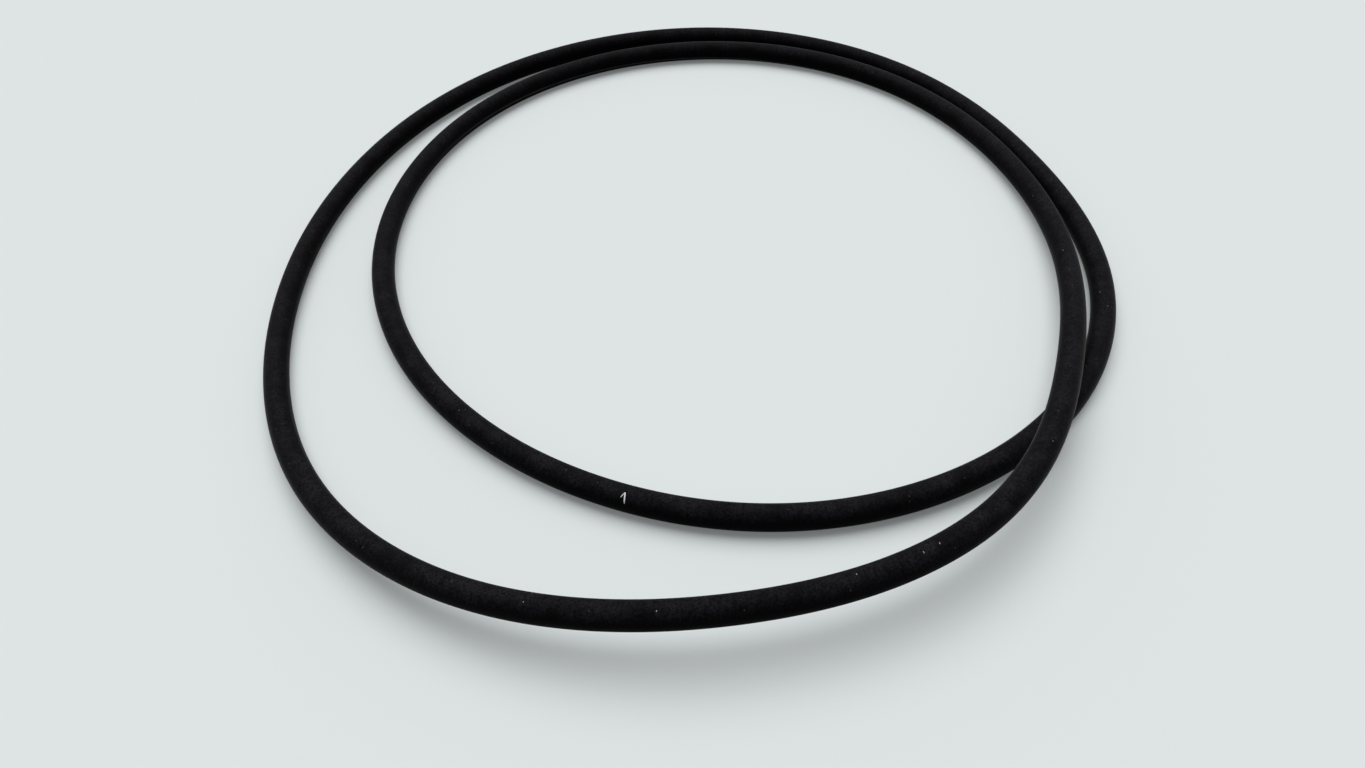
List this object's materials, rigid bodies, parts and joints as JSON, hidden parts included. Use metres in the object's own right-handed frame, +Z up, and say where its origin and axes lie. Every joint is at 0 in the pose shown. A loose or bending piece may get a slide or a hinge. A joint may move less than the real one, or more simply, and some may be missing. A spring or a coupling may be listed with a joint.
{
  "type": "rubber o-ring",
  "caption": "Large black rubber o-ring of round cord, laid down doubled into two turns that cross.",
  "frame": {"origin": "middle of the laid ring's outline, on the table", "axes": "+Z up off the table, -Y towards the raised front of the ring, +X to the side where the turns cross"},
  "size_m": [0.1819, 0.2001, 0.0122],
  "materials": {
    "rubber": "matte moulded rubber with a faint dry bloom"
  },
  "bodies": {
    "root": {"o_ring": "rubber"}
  },
  "joints": []
}
